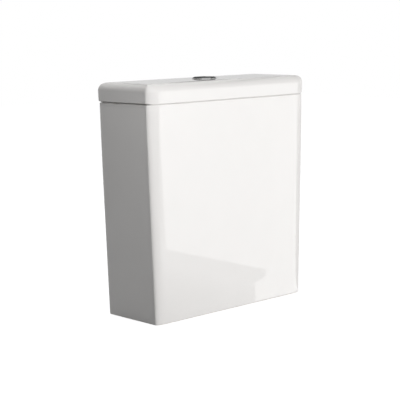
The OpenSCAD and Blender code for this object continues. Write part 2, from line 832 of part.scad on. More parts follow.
module fill_valve_head() color("whitesmoke") at_fill() {
  out = cap_d / 2 - cap_wall;
  sleeve = column_r + seat_play;
  collar = riser_d / 2 + seat_play;
  bevel = 1;
  well = column_top + riser_over / 2;
  revolve([
    [sleeve, column_top - sleeve_h], [out - bevel, column_top - sleeve_h],
    [out, column_top - sleeve_h + bevel], [out, riser_top + diaphragm_t],
    [out - head_wall, riser_top + diaphragm_t], [out - head_wall, well], [collar, well],
    [collar, column_top], [sleeve, column_top]]);
}

module fill_diaphragm() color("dimgray") at_fill()
  translate([0, 0, riser_top])
    cylinder(r = cap_d / 2 - cap_wall - head_wall - seat_play, h = diaphragm_t);

module fill_valve_cap() color("lightsteelblue") at_fill() {
  out = cap_d / 2;
  skirt_in = out - cap_wall + seat_play;
  under = riser_top + diaphragm_t;
  bevel = 1.5;
  grip_r = 1;
  nozzle_r = 2;
  bleed_r = 0.8;
  ear_t = 3;
  ear_r = float_pin_d / 2 + float_hub_wall;
  ear_in = float_lever_d / 2 + ear_room;
  difference() {
    union() {
      revolve([
        [0, under], [skirt_in, under], [skirt_in, column_top], [out, column_top], [out, cap_top - bevel],
        [out - bevel, cap_top], [nozzle_r + bleed_r, cap_top], [nozzle_r, cap_top + nozzle_h],
        [0, cap_top + nozzle_h]]);
      for (turn = [0:30:330]) rotate([0, 0, turn])
        translate([out, 0, column_top]) cylinder(r = grip_r, h = cap_top - column_top - bevel - grip_r);
      for (y = [-ear_in - ear_t, ear_in]) translate([pilot_arm, y + ear_t, 0]) rotate([90, 0, 0])
        linear_extrude(ear_t) {
          translate([-ear_r, cap_top - cut]) square([2 * ear_r, float_pivot_z - cap_top + cut]);
          translate([0, float_pivot_z]) circle(r = ear_r);
        }
    }
    translate([pilot_arm, out, float_pivot_z]) rotate([90, 0, 0])
      cylinder(r = float_pin_d / 2 + seat_play, h = 2 * out);
    translate([0, 0, under - cut]) cylinder(r = bleed_r, h = cap_top);
  }
}

// Cup float, open below, with a tab that carries the rod.
module fill_float() color("gainsboro") at_fill() {
  z0 = float_top - float_h;
  in = column_r + slide_play;
  out = float_d / 2;
  bevel = 3;
  tab_t = 4;
  tab_over = 3;
  tab_r = float_rod_d / 2 + tab_over;
  rod_x_off = pilot_arm + rod_arm;
  revolve([
    [in, z0], [in + float_wall, z0], [in + float_wall, float_top - float_wall],
    [out - float_wall, float_top - float_wall - bevel], [out - float_wall, z0],
    [out, z0], [out, float_top - bevel], [out - bevel, float_top], [in, float_top]]);
  translate([0, 0, float_top - tab_t]) linear_extrude(tab_t) difference() {
    union() {
      translate([in + cut, -tab_r]) square([rod_x_off - in - cut, 2 * tab_r]);
      translate([rod_x_off, 0]) circle(r = tab_r);
    }
    circle(r = in + float_wall / 2);
  }
}

// Rod that stands on the float's tab and ends in an eye round the lever.
module float_rod() color("white") at_fill() translate([pilot_arm + rod_arm, 0, 0]) {
  side_room = 1;
  frame_w = 2.5;
  half_y = float_lever_d / 2 + side_room;
  half_z = float_lever_d / (2 * cos(float_swing)) + eye_t / 2 * tan(float_swing) + hook_gap;
  translate([0, 0, float_top]) cylinder(d = float_rod_d, h = eye_z - eye_half - float_top + cut);
  translate([-eye_t / 2, 0, eye_z]) rotate([90, 0, 90]) linear_extrude(eye_t) difference() {
    square([2 * (half_y + frame_w), 2 * eye_half], center = true);
    square([2 * half_y, 2 * half_z], center = true);
  }
}

module float_lever() color("royalblue") at_fill()
  translate([pilot_arm, 0, float_pivot_z]) rotate([0, float_swing, 0]) {
    hub_r = float_pin_d / 2 + float_hub_wall;
    hub_half = float_lever_d / 2 + ear_room - rest_gap;
    reach = rod_arm + 2 * eye_t;
    knob_t = 2;
    knob_over = 3;
    difference() {
      union() {
        translate([-pilot_arm, 0, 0]) rotate([0, 90, 0]) cylinder(d = float_lever_d, h = pilot_arm + reach);
        translate([reach, 0, 0]) rotate([0, 90, 0]) cylinder(d = float_lever_d + knob_over, h = knob_t);
        translate([0, hub_half, 0]) rotate([90, 0, 0]) cylinder(r = hub_r, h = 2 * hub_half);
        translate([-pilot_arm, 0, -pilot_drop]) sphere(r = pilot_r);
      }
      translate([0, hub_half + cut, 0]) rotate([90, 0, 0])
        cylinder(r = float_pin_d / 2 + run_play, h = 2 * (hub_half + cut));
    }
  }

module float_lever_pin() color("silver") at_fill() translate([pilot_arm, 0, float_pivot_z])
  rotate([90, 0, 0]) {
    translate([0, 0, -eye_half]) cylinder(d = float_pin_d, h = 2 * eye_half);
    translate([0, 0, eye_half]) cylinder(d = float_pin_d + 2 * pin_head, h = pin_head);
  }

module coupling_bolts() color("silver") at_bolts() {
  head_z = floor_top + cone_h;
  slot_w = 1.6;
  r = bolt_d / 2;
  neck_z = nut_z - undercut_room;
  difference() {
    revolve([
      [0, bolt_end], [r, bolt_end], [r, neck_z - undercut_len], [r - undercut, neck_z - undercut_len],
      [r - undercut, neck_z], [r, neck_z], [r, head_z], [bolt_head_d / 2, head_z],
      [bolt_head_d / 2, head_z + bolt_head_h], [0, head_z + bolt_head_h]]);
    translate([-bolt_head_d, -slot_w / 2, head_z + bolt_head_h / 2])
      cube([2 * bolt_head_d, slot_w, bolt_head_h]);
  }
}

module bolt_cone_washers() color("dimgray") at_bolts() {
  plug_t = 0.8;
  plug_lift = 4;
  head_over = 1;
  plug_r = bolt_d / 2 + plug_t;
  bore_r = bolt_d / 2 + seat_play;
  revolve([
    [bore_r, floor_z + plug_lift], [plug_r, floor_z + plug_lift], [plug_r, floor_top],
    [cone_d / 2, floor_top], [bolt_head_d / 2 + head_over, floor_top + cone_h],
    [bore_r, floor_top + cone_h]]);
}

module bolt_plain_washers() color("silver") at_bolts() {
  washer_over = 7;
  ring(bolt_d / 2 + washer_over, bolt_d / 2 + thread_play, floor_z - plain_washer_t, floor_z);
}

module bolt_nuts() color("silver") at_bolts() {
  nut_w = 1.625 * bolt_d;
  difference() {
    translate([0, 0, nut_z]) cylinder(d = nut_w / cos(30), h = nut_h, $fn = 6);
    translate([0, 0, nut_z - cut]) cylinder(r = bolt_d / 2 + seat_play, h = nut_h + 2 * cut);
  }
}

tank();
lid();
button_bezel();
button_washer();
button_locknut();
full_flush_button();
half_flush_button();
full_button_spring();
half_button_spring();
full_push_rod();
half_push_rod();
valve_base();
valve_base_washer();
outlet_backnut();
coupling_gasket();
valve_cage();
valve_bridge();
full_flush_lever();
half_flush_lever();
lever_pins();
overflow_tube();
lift_collar();
flush_seal();
seal_retainer();
half_flush_float();
fill_shank();
fill_shank_washer();
fill_backnut();
inlet_filter();
fill_column();
fill_valve_head();
fill_valve_cap();
fill_diaphragm();
fill_float();
float_rod();
float_lever();
float_lever_pin();
coupling_bolts();
bolt_cone_washers();
bolt_plain_washers();
bolt_nuts();
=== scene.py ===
# Toilet cistern: glazed tank and lid, chrome push button and the valves inside.
# Everything is in metres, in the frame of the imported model, with the front towards -Y.
import json
import math
import bmesh
import bpy
import numpy as np
from mathutils import Matrix, Vector


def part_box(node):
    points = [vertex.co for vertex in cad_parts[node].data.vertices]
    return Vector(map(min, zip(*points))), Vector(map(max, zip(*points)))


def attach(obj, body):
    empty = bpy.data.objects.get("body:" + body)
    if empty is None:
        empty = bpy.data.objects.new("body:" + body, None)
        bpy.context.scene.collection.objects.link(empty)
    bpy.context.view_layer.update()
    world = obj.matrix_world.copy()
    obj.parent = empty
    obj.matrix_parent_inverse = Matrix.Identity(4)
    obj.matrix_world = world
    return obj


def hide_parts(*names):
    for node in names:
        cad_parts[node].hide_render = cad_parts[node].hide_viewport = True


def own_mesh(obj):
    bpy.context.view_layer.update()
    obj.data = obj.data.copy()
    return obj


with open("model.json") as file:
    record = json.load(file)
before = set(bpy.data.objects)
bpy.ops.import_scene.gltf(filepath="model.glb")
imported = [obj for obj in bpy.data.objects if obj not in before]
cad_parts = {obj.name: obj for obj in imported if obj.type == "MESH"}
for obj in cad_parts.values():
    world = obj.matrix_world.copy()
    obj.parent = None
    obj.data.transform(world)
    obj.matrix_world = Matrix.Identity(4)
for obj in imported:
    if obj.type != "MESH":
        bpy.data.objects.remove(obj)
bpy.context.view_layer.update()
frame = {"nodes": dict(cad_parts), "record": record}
nodes = frame["nodes"]
bodyOf = {node: body for body, members in frame["record"]["behaviour"]["bodies"].items() for node in members}
slotOf = {row["node"]: row["material_slot"] for row in frame["record"]["subparts"]}
scene = bpy.context.scene
mm = 0.001
fullTurn = 2 * math.pi
print("frame loaded:", len(nodes), "nodes")


def millimetres(node):
    # lowest and highest corner of a node, in millimetres
    return [np.array(corner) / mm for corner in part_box(node)]


def middleOf(node):
    # place of a node's upright axis, in millimetres
    low, high = millimetres(node)
    return (low[:2] + high[:2]) / 2


tankLow, tankHigh = millimetres("tank")
lidHigh = millimetres("lid")[1]
valveAt = middleOf("button_bezel")
fillAt = middleOf("fill_column")
boltSpacing = 150.0
boltsAt = [np.array([side * boltSpacing / 2, valveAt[1]]) for side in (-1, 1)]


# Shapes

def softProfile(corners, steps=5, closed=True):
    # corners are (across, up, fillet): each corner turns into an arc of that fillet, cut down where two
    # arcs would meet, and each straight stretch gets a spare point near both ends so that it shades flat
    points = np.array([corner[:2] for corner in corners], float)
    fillets = np.array([corner[2] for corner in corners], float)
    count = len(points)
    if not closed:
        fillets[[0, -1]] = 0
    found = []
    for i, here in enumerate(points):
        if fillets[i] <= 0:
            found.append(here[None])
            continue
        after = (i + 1) % count
        back, ahead = points[i - 1] - here, points[after] - here
        lengths = np.linalg.norm(back), np.linalg.norm(ahead)
        back, ahead = back / lengths[0], ahead / lengths[1]
        half = math.acos(np.clip(back @ ahead, -1, 1)) / 2
        room = [
            0.97 * fillets[i] / (fillets[i] + fillets[j]) * length
            for j, length in zip((i - 1, after), lengths)]
        reach = min(fillets[i] / math.tan(half), *room)
        radius = reach * math.tan(half)
        middle = here + (back + ahead) / np.linalg.norm(back + ahead) * radius / math.sin(half)
        start, end = here + back * reach - middle, here + ahead * reach - middle
        sweep = math.pi - 2 * half
        turn = np.linspace(0, 1, steps + 1)[:, None]
        arc = (start * np.sin((1 - turn) * sweep) + end * np.sin(turn * sweep)) / math.sin(sweep)
        found.append(middle + arc)
    line = []
    for i, stretch in enumerate(found):
        line.append(stretch)
        if i + 1 < count or closed:
            first, last = stretch[-1], found[(i + 1) % count][0]
            gap = np.linalg.norm(last - first)
            if gap > 0.5:
                share = min(0.1, 0.3 / gap)
                line.append(np.array([first + (last - first) * share, last - (last - first) * share]))
    return np.concatenate(line)


def denser(line, across, rows):
    # the upright stretch of a profile at one distance from the axis gets evenly spaced rows
    spots = np.flatnonzero(np.abs(line[:, 0] - across) < 0.001)
    climb = np.linspace(line[spots[0], 1], line[spots[-1], 1], rows)
    return np.concatenate([line[:spots[0]], np.stack([0 * climb + across, climb], 1), line[spots[-1] + 1:]])


def latheGrid(profile, centre, sides=72, thread=None):
    # radius and height carried round an upright axis; a thread lowers the radius along a helix
    turn = np.linspace(0, fullTurn, sides, endpoint=False)[None]
    radius = np.repeat(profile[:, :1], sides, 1)
    height = profile[:, 1:2] + 0 * turn
    if thread:
        onThread = np.abs(profile[:, :1] - thread["radius"]) < 0.02
        into = np.minimum(height - thread["low"], thread["high"] - height) / thread["pitch"]
        fade = np.clip(into, 0, 1) * onThread
        wave = 0.5 - 0.5 * np.cos(fullTurn * height / thread["pitch"] - turn)
        radius = radius - thread["depth"] * fade * wave
    return np.stack([centre[0] + radius * np.cos(turn), centre[1] + radius * np.sin(turn), height], -1)


def addPiece(name, node, mesh, materials=None):
    # a mesh becomes a piece that stands for a node, on its body and with its finish
    mesh.polygons.foreach_set("use_smooth", np.ones(len(mesh.polygons), bool))
    for material in materials or [slotMaterial[slotOf[node]]]:
        mesh.materials.append(material)
    piece = bpy.data.objects.new(name, mesh)
    scene.collection.objects.link(piece)
    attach(piece, bodyOf[node])
    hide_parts(node)
    return piece


def meshPiece(name, node, grids, materials=None, closedRows=True):
    # each grid is one closed skin: rows follow the profile, columns go round
    points, quads, offset = [], [], 0
    for grid in grids:
        rows, cols = grid.shape[:2]
        row, col = np.meshgrid(np.arange(rows if closedRows else rows - 1), np.arange(cols), indexing="ij")
        nextRow, nextCol = (row + 1) % rows, (col + 1) % cols
        corner = [row * cols + col, row * cols + nextCol, nextRow * cols + nextCol, nextRow * cols + col]
        quads.append(np.stack(corner, -1).reshape(-1, 4) + offset)
        points.append(grid.reshape(-1, 3) * mm)
        offset += rows * cols
    mesh = bpy.data.meshes.new(name)
    mesh.from_pydata(np.concatenate(points), [], np.concatenate(quads))
    skin = bmesh.new()
    skin.from_mesh(mesh)
    bmesh.ops.remove_doubles(skin, verts=skin.verts, dist=1e-7)
    bmesh.ops.recalc_face_normals(skin, faces=skin.faces)
    skin.to_mesh(mesh)
    skin.free()
    return addPiece(name, node, mesh, materials)


def easedCopy(name, node, edge):
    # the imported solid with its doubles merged, its flat faces joined and its edges eased
    mesh = bpy.data.meshes.new(name)
    skin = bmesh.new()
    skin.from_mesh(nodes[node].data)
    bmesh.ops.remove_doubles(skin, verts=skin.verts, dist=2e-6)
    bmesh.ops.dissolve_limit(skin, angle_limit=math.radians(0.5), verts=skin.verts, edges=skin.edges)
    skin.to_mesh(mesh)
    skin.free()
    piece = addPiece(name, node, mesh)
    bevel = piece.modifiers.new("eased_edges", "BEVEL")
    bevel.width = edge * mm
    bevel.segments = 2
    bevel.limit_method = "ANGLE"
    bevel.angle_limit = math.radians(35)
    bevel.harden_normals = True
    return piece


# Materials

def linear(hexColour):
    # sRGB hex to linear red, green, blue and alpha
    value = np.array([int(hexColour[i:i + 2], 16) for i in (1, 3, 5)]) / 255
    value = np.where(value <= 0.04045, value / 12.92, ((value + 0.055) / 1.055) ** 2.4)
    return (*value.tolist(), 1.0)


def addNode(tree, kind, inputs=None, **settings):
    # one node with its settings; an input is a fixed value or another node's output
    node = tree.nodes.new(kind)
    for key, value in settings.items():
        setattr(node, key, value)
    for socket, value in (inputs or {}).items():
        if isinstance(value, bpy.types.NodeSocket):
            tree.links.new(value, node.inputs[socket])
        else:
            node.inputs[socket].default_value = value
    return node


def emptyMaterial(name):
    # a material with a bare node tree, and that tree
    material = bpy.data.materials.new(name)
    material.use_nodes = True
    material.node_tree.nodes.clear()
    return material, material.node_tree


def surfaceMaterial(name, look):
    # a main colour clouded by a second one, roughness that varies with the same clouds,
    # and two scales of unevenness; sizes in the look are millimetres
    material, tree = emptyMaterial(name)
    place = addNode(tree, "ShaderNodeTexCoord").outputs["Object"]
    clouds = addNode(tree, "ShaderNodeTexNoise", {
        "Vector": place, "Scale": 1000 / look["cloudSize"], "Detail": 3.0})
    tint = addNode(tree, "ShaderNodeMix", {
        "Factor": clouds.outputs["Fac"], "A": linear(look["colour"]), "B": linear(look["cloud"])},
        data_type="RGBA")
    rough = addNode(tree, "ShaderNodeMapRange", {
        "Value": clouds.outputs["Fac"], "From Min": 0.3, "From Max": 0.7,
        "To Min": look["roughness"][0], "To Max": look["roughness"][1]})
    broad = addNode(tree, "ShaderNodeTexNoise", {
        "Vector": place, "Scale": 1000 / look["broadSize"], "Detail": 1.0})
    fine = addNode(tree, "ShaderNodeTexNoise", {
        "Vector": place, "Scale": 1000 / look["fineSize"], "Detail": 2.0})
    swell = addNode(tree, "ShaderNodeBump", {
        "Height": broad.outputs["Fac"], "Strength": 1.0, "Distance": look["broadDepth"] * mm})
    skin = addNode(tree, "ShaderNodeBump", {
        "Height": fine.outputs["Fac"], "Strength": 1.0, "Distance": look["fineDepth"] * mm,
        "Normal": swell.outputs["Normal"]})
    shader = addNode(tree, "ShaderNodeBsdfPrincipled", {
        "Base Color": tint.outputs["Result"], "Roughness": rough.outputs["Result"],
        "Normal": skin.outputs["Normal"], **look.get("fixed", {})})
    addNode(tree, "ShaderNodeOutputMaterial", {"Surface": shader.outputs["BSDF"]})
    return material


# Vitreous china under a fired gloss glaze: bright reflections that bend a little where
# the glaze ran, and the faintest cloud in the white
glazedChina = surfaceMaterial("glazed_vitreous_china", {
    "colour": "#E9E7E5", "cloud": "#E6E4E2", "cloudSize": 45, "roughness": (0.03, 0.045),
    "broadSize": 60, "broadDepth": 0.06, "fineSize": 9, "fineDepth": 0.003,
    "fixed": {"IOR": 1.6}})
# Bare fired clay at the foot and underneath, where the glaze is wiped off: dull and a little buff
bareChina = surfaceMaterial("unglazed_fired_china", {
    "colour": "#DDD6CA", "cloud": "#CFC6B6", "cloudSize": 18, "roughness": (0.7, 0.85),
    "broadSize": 12, "broadDepth": 0.06, "fineSize": 1.2, "fineDepth": 0.03})
# Bright chrome over moulded ABS: a clear mirror with a faint swell from the moulding
chromePlate = surfaceMaterial("chrome_plated_abs", {
    "colour": "#DADADA", "cloud": "#D4D5D5", "cloudSize": 8, "roughness": (0.03, 0.07),
    "broadSize": 14, "broadDepth": 0.006, "fineSize": 2, "fineDepth": 0.0008,
    "fixed": {"Metallic": 1.0}})
# White ABS, injection moulded with a satin die
whiteAbs = surfaceMaterial("moulded_white_abs", {
    "colour": "#E4E4DF", "cloud": "#DCDCD6", "cloudSize": 20, "roughness": (0.3, 0.42),
    "broadSize": 15, "broadDepth": 0.02, "fineSize": 0.9, "fineDepth": 0.008})
# Natural polypropylene: milky, waxy and matt
naturalPolypropylene = surfaceMaterial("moulded_natural_polypropylene", {
    "colour": "#D6D8D4", "cloud": "#C9CCC8", "cloudSize": 14, "roughness": (0.42, 0.55),
    "broadSize": 10, "broadDepth": 0.02, "fineSize": 0.8, "fineDepth": 0.01})
# The same waxy plastic with a grey pigment, a little streaked where it flowed
greyPolypropylene = surfaceMaterial("moulded_grey_polypropylene", {
    "colour": "#9AA1A6", "cloud": "#8E959B", "cloudSize": 14, "roughness": (0.42, 0.55),
    "broadSize": 10, "broadDepth": 0.02, "fineSize": 0.8, "fineDepth": 0.01})
# Acetal levers and collars: slippery, satin, coloured through
blueAcetal = surfaceMaterial("moulded_blue_acetal", {
    "colour": "#2A4FA0", "cloud": "#234489", "cloudSize": 10, "roughness": (0.3, 0.4),
    "broadSize": 9, "broadDepth": 0.015, "fineSize": 0.7, "fineDepth": 0.006})
# A paler batch of the same acetal for the short flush
paleBlueAcetal = surfaceMaterial("moulded_pale_blue_acetal", {
    "colour": "#86B4D8", "cloud": "#79A8CE", "cloudSize": 10, "roughness": (0.3, 0.4),
    "broadSize": 9, "broadDepth": 0.015, "fineSize": 0.7, "fineDepth": 0.006})
# Moulded rubber: nearly black, dusty where it was talced
blackRubber = surfaceMaterial("moulded_epdm_rubber", {
    "colour": "#242424", "cloud": "#34332F", "cloudSize": 7, "roughness": (0.62, 0.8),
    "broadSize": 6, "broadDepth": 0.04, "fineSize": 0.6, "fineDepth": 0.02})
# Red silicone of the flush seal: softer sheen than the black rubber
redSilicone = surfaceMaterial("moulded_silicone_rubber", {
    "colour": "#B0362C", "cloud": "#9C2D26", "cloudSize": 7, "roughness": (0.5, 0.65),
    "broadSize": 6, "broadDepth": 0.03, "fineSize": 0.6, "fineDepth": 0.012})
# Bright zinc plate on drawn steel: grey, softly reflecting, slightly blotched
zincSteel = surfaceMaterial("zinc_plated_steel", {
    "colour": "#B9BCC0", "cloud": "#A2A6AB", "cloudSize": 3, "roughness": (0.24, 0.42),
    "broadSize": 4, "broadDepth": 0.01, "fineSize": 0.5, "fineDepth": 0.003,
    "fixed": {"Metallic": 1.0}})
slotMaterial = {
    "vitreous_china": glazedChina, "chrome_plated_abs": chromePlate, "white_abs": whiteAbs,
    "natural_polypropylene": naturalPolypropylene, "grey_polypropylene": greyPolypropylene,
    "blue_acetal": blueAcetal, "pale_blue_acetal": paleBlueAcetal, "black_rubber": blackRubber,
    "red_silicone": redSilicone, "zinc_steel": zincSteel}
print("materials made:", len(slotMaterial) + 1)


# Tank and lid: soft-cornered rectangles, one over another

outlineLook = {"corner": 28, "front": 48, "side": 16, "back": 32, "power": 2.5}


def outlineRing():
    # places round the outline: side or share along the width, share from front to back, and
    # the direction on the corner's curve
    corner = np.linspace(0, 1, outlineLook["corner"], endpoint=False)
    quarter = math.pi / 2
    parts = []
    for side, back, start in ((1, 0, -1), (1, 1, 0), (-1, 1, 1), (-1, 0, 2)):
        parts.append(np.stack([0 * corner + side, 0 * corner + back, (start + corner) * quarter], 1))
        straight = "back" if (side, back) == (1, 1) else "front" if (side, back) == (-1, 0) else "side"
        share = np.linspace(0, 1, outlineLook[straight], endpoint=False)
        facing = 0 * share + (start + 1) * quarter
        if straight == "side":
            parts.append(np.stack([0 * share + side, share if side > 0 else 1 - share, facing], 1))
        else:
            parts.append(np.stack([side * (1 - 2 * share), 0 * share + back, facing], 1))
    return np.concatenate(parts).T


def outlineGrid(half, front, back, run, turn, backRadius, height):
    # one row per height: straight sides joined by arcs at the back, and at the front by the curve
    # (x / run) ** power + (y / turn) ** power = 1, which bends hard beside the sides
    along, depth, direction = outlineRing()
    half, front, back, run, turn, backRadius, height = [
        np.asarray(value, float)[:, None] for value in (half, front, back, run, turn, backRadius, height)]
    exponent = 2 / outlineLook["power"] * (1 - depth) + depth
    across, ahead = [np.sign(v) * np.abs(v) ** exponent for v in (np.cos(direction), np.sin(direction))]
    wide = run * (1 - depth) + backRadius * depth
    deep = turn * (1 - depth) + backRadius * depth
    x = along * (half - wide) + wide * across
    y = (front + turn) * (1 - depth) + (back - backRadius) * depth + deep * ahead
    return np.stack([x, y, height + 0 * x], -1)


def towardsHole(ring, centre, radius, shares):
    # rows that turn an outline into a round hole about a centre
    offset = ring[:, :2] - centre
    circle = offset / np.linalg.norm(offset, axis=1)[:, None] * radius + centre
    share = np.asarray(shares, float)[:, None, None]
    flat = ring[None, :, :2] * (1 - share) + circle[None] * share
    return np.concatenate([flat, np.repeat(ring[None, :, 2:], len(shares), 0)], -1)


tankLook = {
    "taper": 10.6, "bow": 1.2, "wall": 10.0, "run": 26.0, "turn": 7.5, "backRadius": 8.0, "edge": 2.0,
    "cove": 3.0, "floorUnder": 40.0, "floorTop": 52.0, "hole": 25.5, "ripple": 0.12}


def tankRows(inset, height):
    # the tank's outline at a height, drawn in by inset: its half width shrinks by
    # taper * (1 - share) ** bow; the room inside the walls has plain round corners
    look = tankLook
    share = np.clip(height / tankHigh[2], 0, 1)
    half = tankHigh[0] - look["taper"] * (1 - share) ** look["bow"] - inset
    inside = inset > 0.8 * look["wall"]
    soft = [
        np.where(inside, look["cove"], np.maximum(look[key] - inset, look["edge"]))
        for key in ("run", "turn", "backRadius")]
    return outlineGrid(half, tankLow[1] + inset, tankHigh[1] - inset, *soft, height)


def makeTank():
    # floor underside, recess, foot, outer wall, rim, inner wall and floor, closed through the valve hole
    look = tankLook
    wall, top = look["wall"], tankHigh[2]
    line = softProfile([
        (wall + look["cove"] + 2, look["floorUnder"], 0), (wall, look["floorUnder"], look["cove"]),
        (wall, 0, look["edge"]), (0, 0, look["edge"]), (0, top, look["edge"]), (wall, top, look["edge"]),
        (wall, look["floorTop"], look["cove"]), (wall + look["cove"] + 2, look["floorTop"], 0)],
        steps=8, closed=False)
    line = denser(line, 0, 60)
    inset, height = line[:, 0], line[:, 1]
    rows = tankRows(inset, height)
    # slow hollows of the slip casting, only inwards and only on the outer wall
    x, z = rows[..., 0] / 100, rows[..., 2] / 100
    hollow = look["ripple"] * (1 + np.sin(2.1 * x + 1.7 * z + 0.6) * np.sin(1.3 * z - 0.8 * x + 1.1)) / 2
    onWall = np.clip(1 - inset / look["edge"], 0, 1)[:, None] * np.clip(height / 20, 0, 1)[:, None]
    outward = rows[..., :2] - valveAt
    outward = outward / np.linalg.norm(outward, axis=-1, keepdims=True)
    rows[..., :2] -= outward * (hollow * onWall)[..., None]
    grid = np.concatenate([
        towardsHole(rows[0], valveAt, look["hole"], [1, 0.7, 0.4]), rows,
        towardsHole(rows[-1], valveAt, look["hole"], [0.4, 0.7, 1])])
    piece = meshPiece("tank_body", "tank", [grid], [glazedChina, bareChina])
    # the foot, its recess and the floor's underside are bare
    count = len(piece.data.polygons)
    centres, normals = np.empty(count * 3), np.empty(count * 3)
    piece.data.polygons.foreach_get("center", centres)
    piece.data.polygons.foreach_get("normal", normals)
    centres, normals = centres.reshape(-1, 3) / mm, normals.reshape(-1, 3)
    reach = np.abs(centres[:, 0]) < tankHigh[0] - look["taper"] - wall + 1
    depth = (centres[:, 1] > tankLow[1] + wall - 1) & (centres[:, 1] < tankHigh[1] - wall + 1)
    below = centres[:, 2] < look["floorUnder"] + 1
    bare = (centres[:, 2] < 0.9 * look["edge"]) & (normals[:, 2] < -0.5) | reach & depth & below
    piece.data.polygons.foreach_set("material_index", bare.astype(np.int32))


lidLook = {
    "run": 28.0, "turn": 9.5, "backRadius": 6.0, "least": 2.0, "draw": 1.1, "sideOver": 2.0, "edge": 2.0,
    "topEdge": 14.0, "ceiling": 10.0, "wall": 10.0, "cove": 3.0, "hole": 19.0, "holeEdge": 0.8, "crown": 0.3,
    "easing": 1.7, "easingDepth": 5.5, "easingHeight": 9.0, "easingRun": 9.0}
nibLook = {"length": 32.0, "thickness": 6.0, "play": 2.0, "drop": 6.0, "root": 11.0, "bevel": 1.5}


def makeLid():
    # outer skin from the joint up over the top to the button hole, then the ceiling and inner wall
    look = lidLook
    low, top = tankHigh[2], lidHigh[2]
    outer = softProfile([
        (look["easingDepth"] + 1, low, 0), (look["easingDepth"], low, 0), (0, low, look["edge"]),
        (0, top, look["topEdge"]), (look["topEdge"] + 4, top, 0)], steps=16, closed=False)
    inset, height = outer[:, 0], outer[:, 1]
    # sides and front lean in towards the joint
    drawn = inset + look["draw"] * (top - height) / (top - low)
    soft = [np.maximum(look[key] - inset, look["least"]) for key in ("run", "turn", "backRadius")]
    half = tankHigh[0] + look["sideOver"] - drawn
    skin = outlineGrid(half, drawn - lidHigh[1], lidHigh[1] - inset, *soft, height)
    # the lower edge is ground away a little at both ends, where the lid is gripped
    atEnd = np.clip(1 - (half.max() - 4 - np.abs(skin[..., 0])) / look["easingRun"], 0, 1) ** 2
    atEdge = np.clip(look["easingDepth"] - inset, 0, 1)
    atEdge = atEdge * np.clip(1 - (height - low) / look["easingHeight"], 0, 1)
    skin[..., 2] += look["easing"] * atEnd * atEdge[:, None]
    upper = towardsHole(skin[-1], valveAt, look["hole"] + look["holeEdge"], np.linspace(0.08, 1, 14))
    inner = softProfile([
        (look["cove"] + 3, top - look["ceiling"], 0), (0, top - look["ceiling"], look["cove"]),
        (0, low, look["edge"]), (-3, low, 0)], steps=8, closed=False)
    hollow = tankRows(look["wall"] + inner[:, 0], np.maximum(inner[:, 1], low))
    ceiling = towardsHole(hollow[0], valveAt, look["hole"], [1, 0.7, 0.4])
    rim = towardsHole(skin[-1], valveAt, look["hole"], [1])
    rim[..., 2] -= look["holeEdge"]
    grid = np.concatenate([skin, upper, rim, ceiling, hollow])
    # the top falls away a little from the button to its edges
    count = len(skin) + len(upper) + 1
    x, y, z = [grid[:count, :, i] for i in range(3)]
    fall = 1 - (1 - (x / lidHigh[0]) ** 2) * (1 - (y / lidHigh[1]) ** 2)
    grid[:count, :, 2] -= look["crown"] * fall * np.clip((z - top + look["topEdge"]) / look["topEdge"], 0, 1)
    # a bevelled tongue carried along the wall it hangs from, six times
    nib = nibLook
    near, far = nib["play"], nib["play"] + nib["thickness"]
    line = softProfile([
        (-0.5, low + 1, 0.3), (near, low + 1, 0.8), (near, low - nib["drop"], nib["bevel"]),
        (far, low - nib["drop"], nib["bevel"]), (far, low + nib["root"], 1.5),
        (-0.5, low + nib["root"], 0.3)], steps=4)
    middle, end = line.mean(0), nib["length"] / 2
    sizes = [
        (-end, 0.0), (-end, 0.8), (0.6 - end, 1.0), (0.0, 1.0), (end - 0.6, 1.0), (end, 0.8), (end, 0.0)]
    section = np.stack([
        np.concatenate([middle + (line - middle) * size, 0 * line[:, :1] + along], 1)
        for along, size in sizes])
    width, depth = tankHigh[0] - look["wall"], (tankHigh[1] - tankLow[1]) / 2 - look["wall"]
    places = [(0, -width, 0), (180, -width, 0)]
    places += [(side, -depth, across) for side in (90, 270) for across in (-width / 2, width / 2)]
    nibs = []
    for turn, wall, across in places:
        a = math.radians(turn)
        out, along, up = wall + section[..., 0], across + section[..., 2], section[..., 1]
        x, y = out * math.cos(a) - along * math.sin(a), out * math.sin(a) + along * math.cos(a)
        nibs.append(np.stack([x, valveAt[1] + y, up], -1))
    meshPiece("lid_shell", "lid", [grid])
    meshPiece("lid_nibs", "lid", nibs, closedRows=False)


makeTank()
makeLid()
print("tank and lid made")


# Push button

bezelLook = {
    "flange": 21.0, "edge": 0.5, "shoulder": 20.5, "shoulderHeight": 1.7, "crown": 15.8, "opening": 14.8,
    "barrel": 18.0, "plate": 3.0, "height": 3.1, "pitch": 2.0, "depth": 0.55, "threadOff": 9.0}
buttonLook = {
    "radius": 14.4, "split": -2.0, "gap": 0.2, "dome": 0.5, "edge": 0.45, "skirt": 8.0, "skirtWall": 1.6,
    "under": 4.0, "bossWall": 1.6}
rodLook = {"radius": 2.0, "bore": 2.4}


def segmentOutline(radius, cut, side, easing=6):
    # an arc closed by the chord at x = cut; corners are eased by averaging each place with its neighbours
    reach = math.acos(np.clip(side * cut / radius, -1, 1))
    arc = np.linspace(-reach, reach, 61)
    rim = np.stack([side * radius * np.cos(arc), radius * np.sin(arc)], 1)
    outline = np.concatenate([rim, np.linspace(rim[-1], rim[0], 26)[1:-1]])
    for _ in range(easing):
        near = (np.roll(outline, 1, 0) + np.roll(outline, -1, 0)) / 2
        sharp = np.linalg.norm(near - outline, axis=1) > 0.05
        outline = np.where(sharp[:, None], (outline + near) / 2, outline)
    return outline


